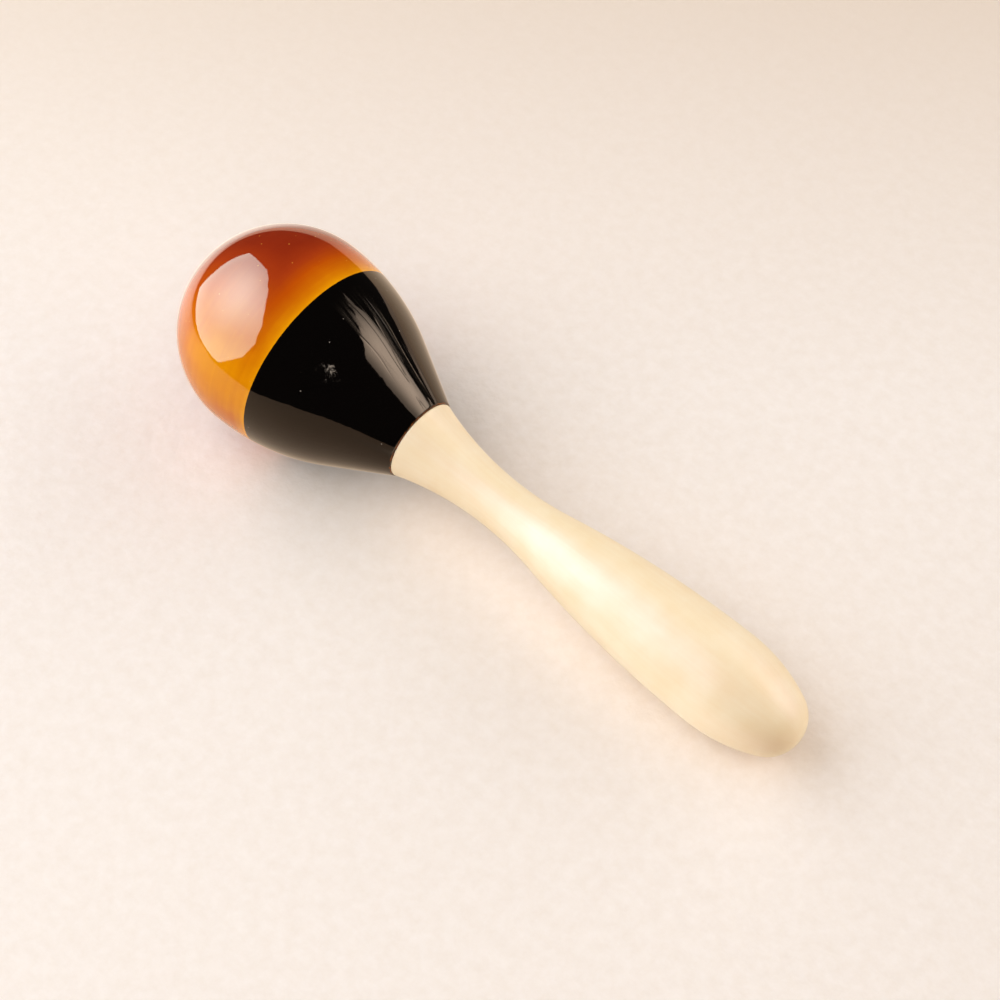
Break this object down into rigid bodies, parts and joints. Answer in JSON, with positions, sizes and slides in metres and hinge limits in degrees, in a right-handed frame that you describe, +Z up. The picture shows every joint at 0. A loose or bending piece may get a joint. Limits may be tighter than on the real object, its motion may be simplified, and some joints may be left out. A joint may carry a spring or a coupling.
{
  "type": "egg rattle",
  "caption": "Turned wooden egg rattle: a hollow egg-shaped head in amber and black lacquer on a slim waisted ivory handle, holding loose seeds that rattle when it is shaken.",
  "frame": {"origin": "on the floor under the middle of the rattle's box as it lies on its side", "axes": "+Z up, +X along the rattle from the head to the butt of the handle, +Y across it"},
  "size_m": [0.1492, 0.0432, 0.0434],
  "materials": {
    "amber_lacquer": "turned wood under high-gloss clear amber lacquer, red-brown at the top and golden at the rim",
    "black_lacquer": "turned wood under mirror-gloss black lacquer with fine wiping marks",
    "ivory_lacquer": "turned wood under satin-gloss ivory lacquer",
    "dry_seed": "hard dry seed coat, smooth with a dull gloss"
  },
  "bodies": {
    "rattle": {"dome_cap": "amber_lacquer", "neck_cup": "black_lacquer", "handle": "ivory_lacquer"},
    "seed_01": {"seed_01": "dry_seed"},
    "seed_02": {"seed_02": "dry_seed"},
    "seed_03": {"seed_03": "dry_seed"},
    "seed_04": {"seed_04": "dry_seed"},
    "seed_05": {"seed_05": "dry_seed"},
    "seed_06": {"seed_06": "dry_seed"},
    "seed_07": {"seed_07": "dry_seed"},
    "seed_08": {"seed_08": "dry_seed"},
    "seed_09": {"seed_09": "dry_seed"},
    "seed_10": {"seed_10": "dry_seed"},
    "seed_11": {"seed_11": "dry_seed"},
    "seed_12": {"seed_12": "dry_seed"}
  },
  "joints": [
    {"name": "seed_01_shake", "type": "slide", "parent": "rattle", "child": "seed_01", "axis": [0.1062, 0, 0.9943], "range_m": [0, 0.02704]},
    {"name": "seed_02_shake", "type": "slide", "parent": "rattle", "child": "seed_02", "axis": [0.1062, 0, 0.9943], "range_m": [0, 0.02751]},
    {"name": "seed_03_shake", "type": "slide", "parent": "rattle", "child": "seed_03", "axis": [0.1062, 0, 0.9943], "range_m": [0, 0.02587]},
    {"name": "seed_04_shake", "type": "slide", "parent": "rattle", "child": "seed_04", "axis": [0.1062, 0, 0.9943], "range_m": [0, 0.01829]},
    {"name": "seed_05_shake", "type": "slide", "parent": "rattle", "child": "seed_05", "axis": [0.1062, 0, 0.9943], "range_m": [0, 0.02927]},
    {"name": "seed_06_shake", "type": "slide", "parent": "rattle", "child": "seed_06", "axis": [0.1062, 0, 0.9943], "range_m": [0, 0.0297]},
    {"name": "seed_07_shake", "type": "slide", "parent": "rattle", "child": "seed_07", "axis": [0.1062, 0, 0.9943], "range_m": [0, 0.02819]},
    {"name": "seed_08_shake", "type": "slide", "parent": "rattle", "child": "seed_08", "axis": [0.1062, 0, 0.9943], "range_m": [0, 0.02144]},
    {"name": "seed_09_shake", "type": "slide", "parent": "rattle", "child": "seed_09", "axis": [0.1062, 0, 0.9943], "range_m": [0, 0.02704]},
    {"name": "seed_10_shake", "type": "slide", "parent": "rattle", "child": "seed_10", "axis": [0.1062, 0, 0.9943], "range_m": [0, 0.02751]},
    {"name": "seed_11_shake", "type": "slide", "parent": "rattle", "child": "seed_11", "axis": [0.1062, 0, 0.9943], "range_m": [0, 0.02587]},
    {"name": "seed_12_shake", "type": "slide", "parent": "rattle", "child": "seed_12", "axis": [0.1062, 0, 0.9943], "range_m": [0, 0.01829]}
  ]
}
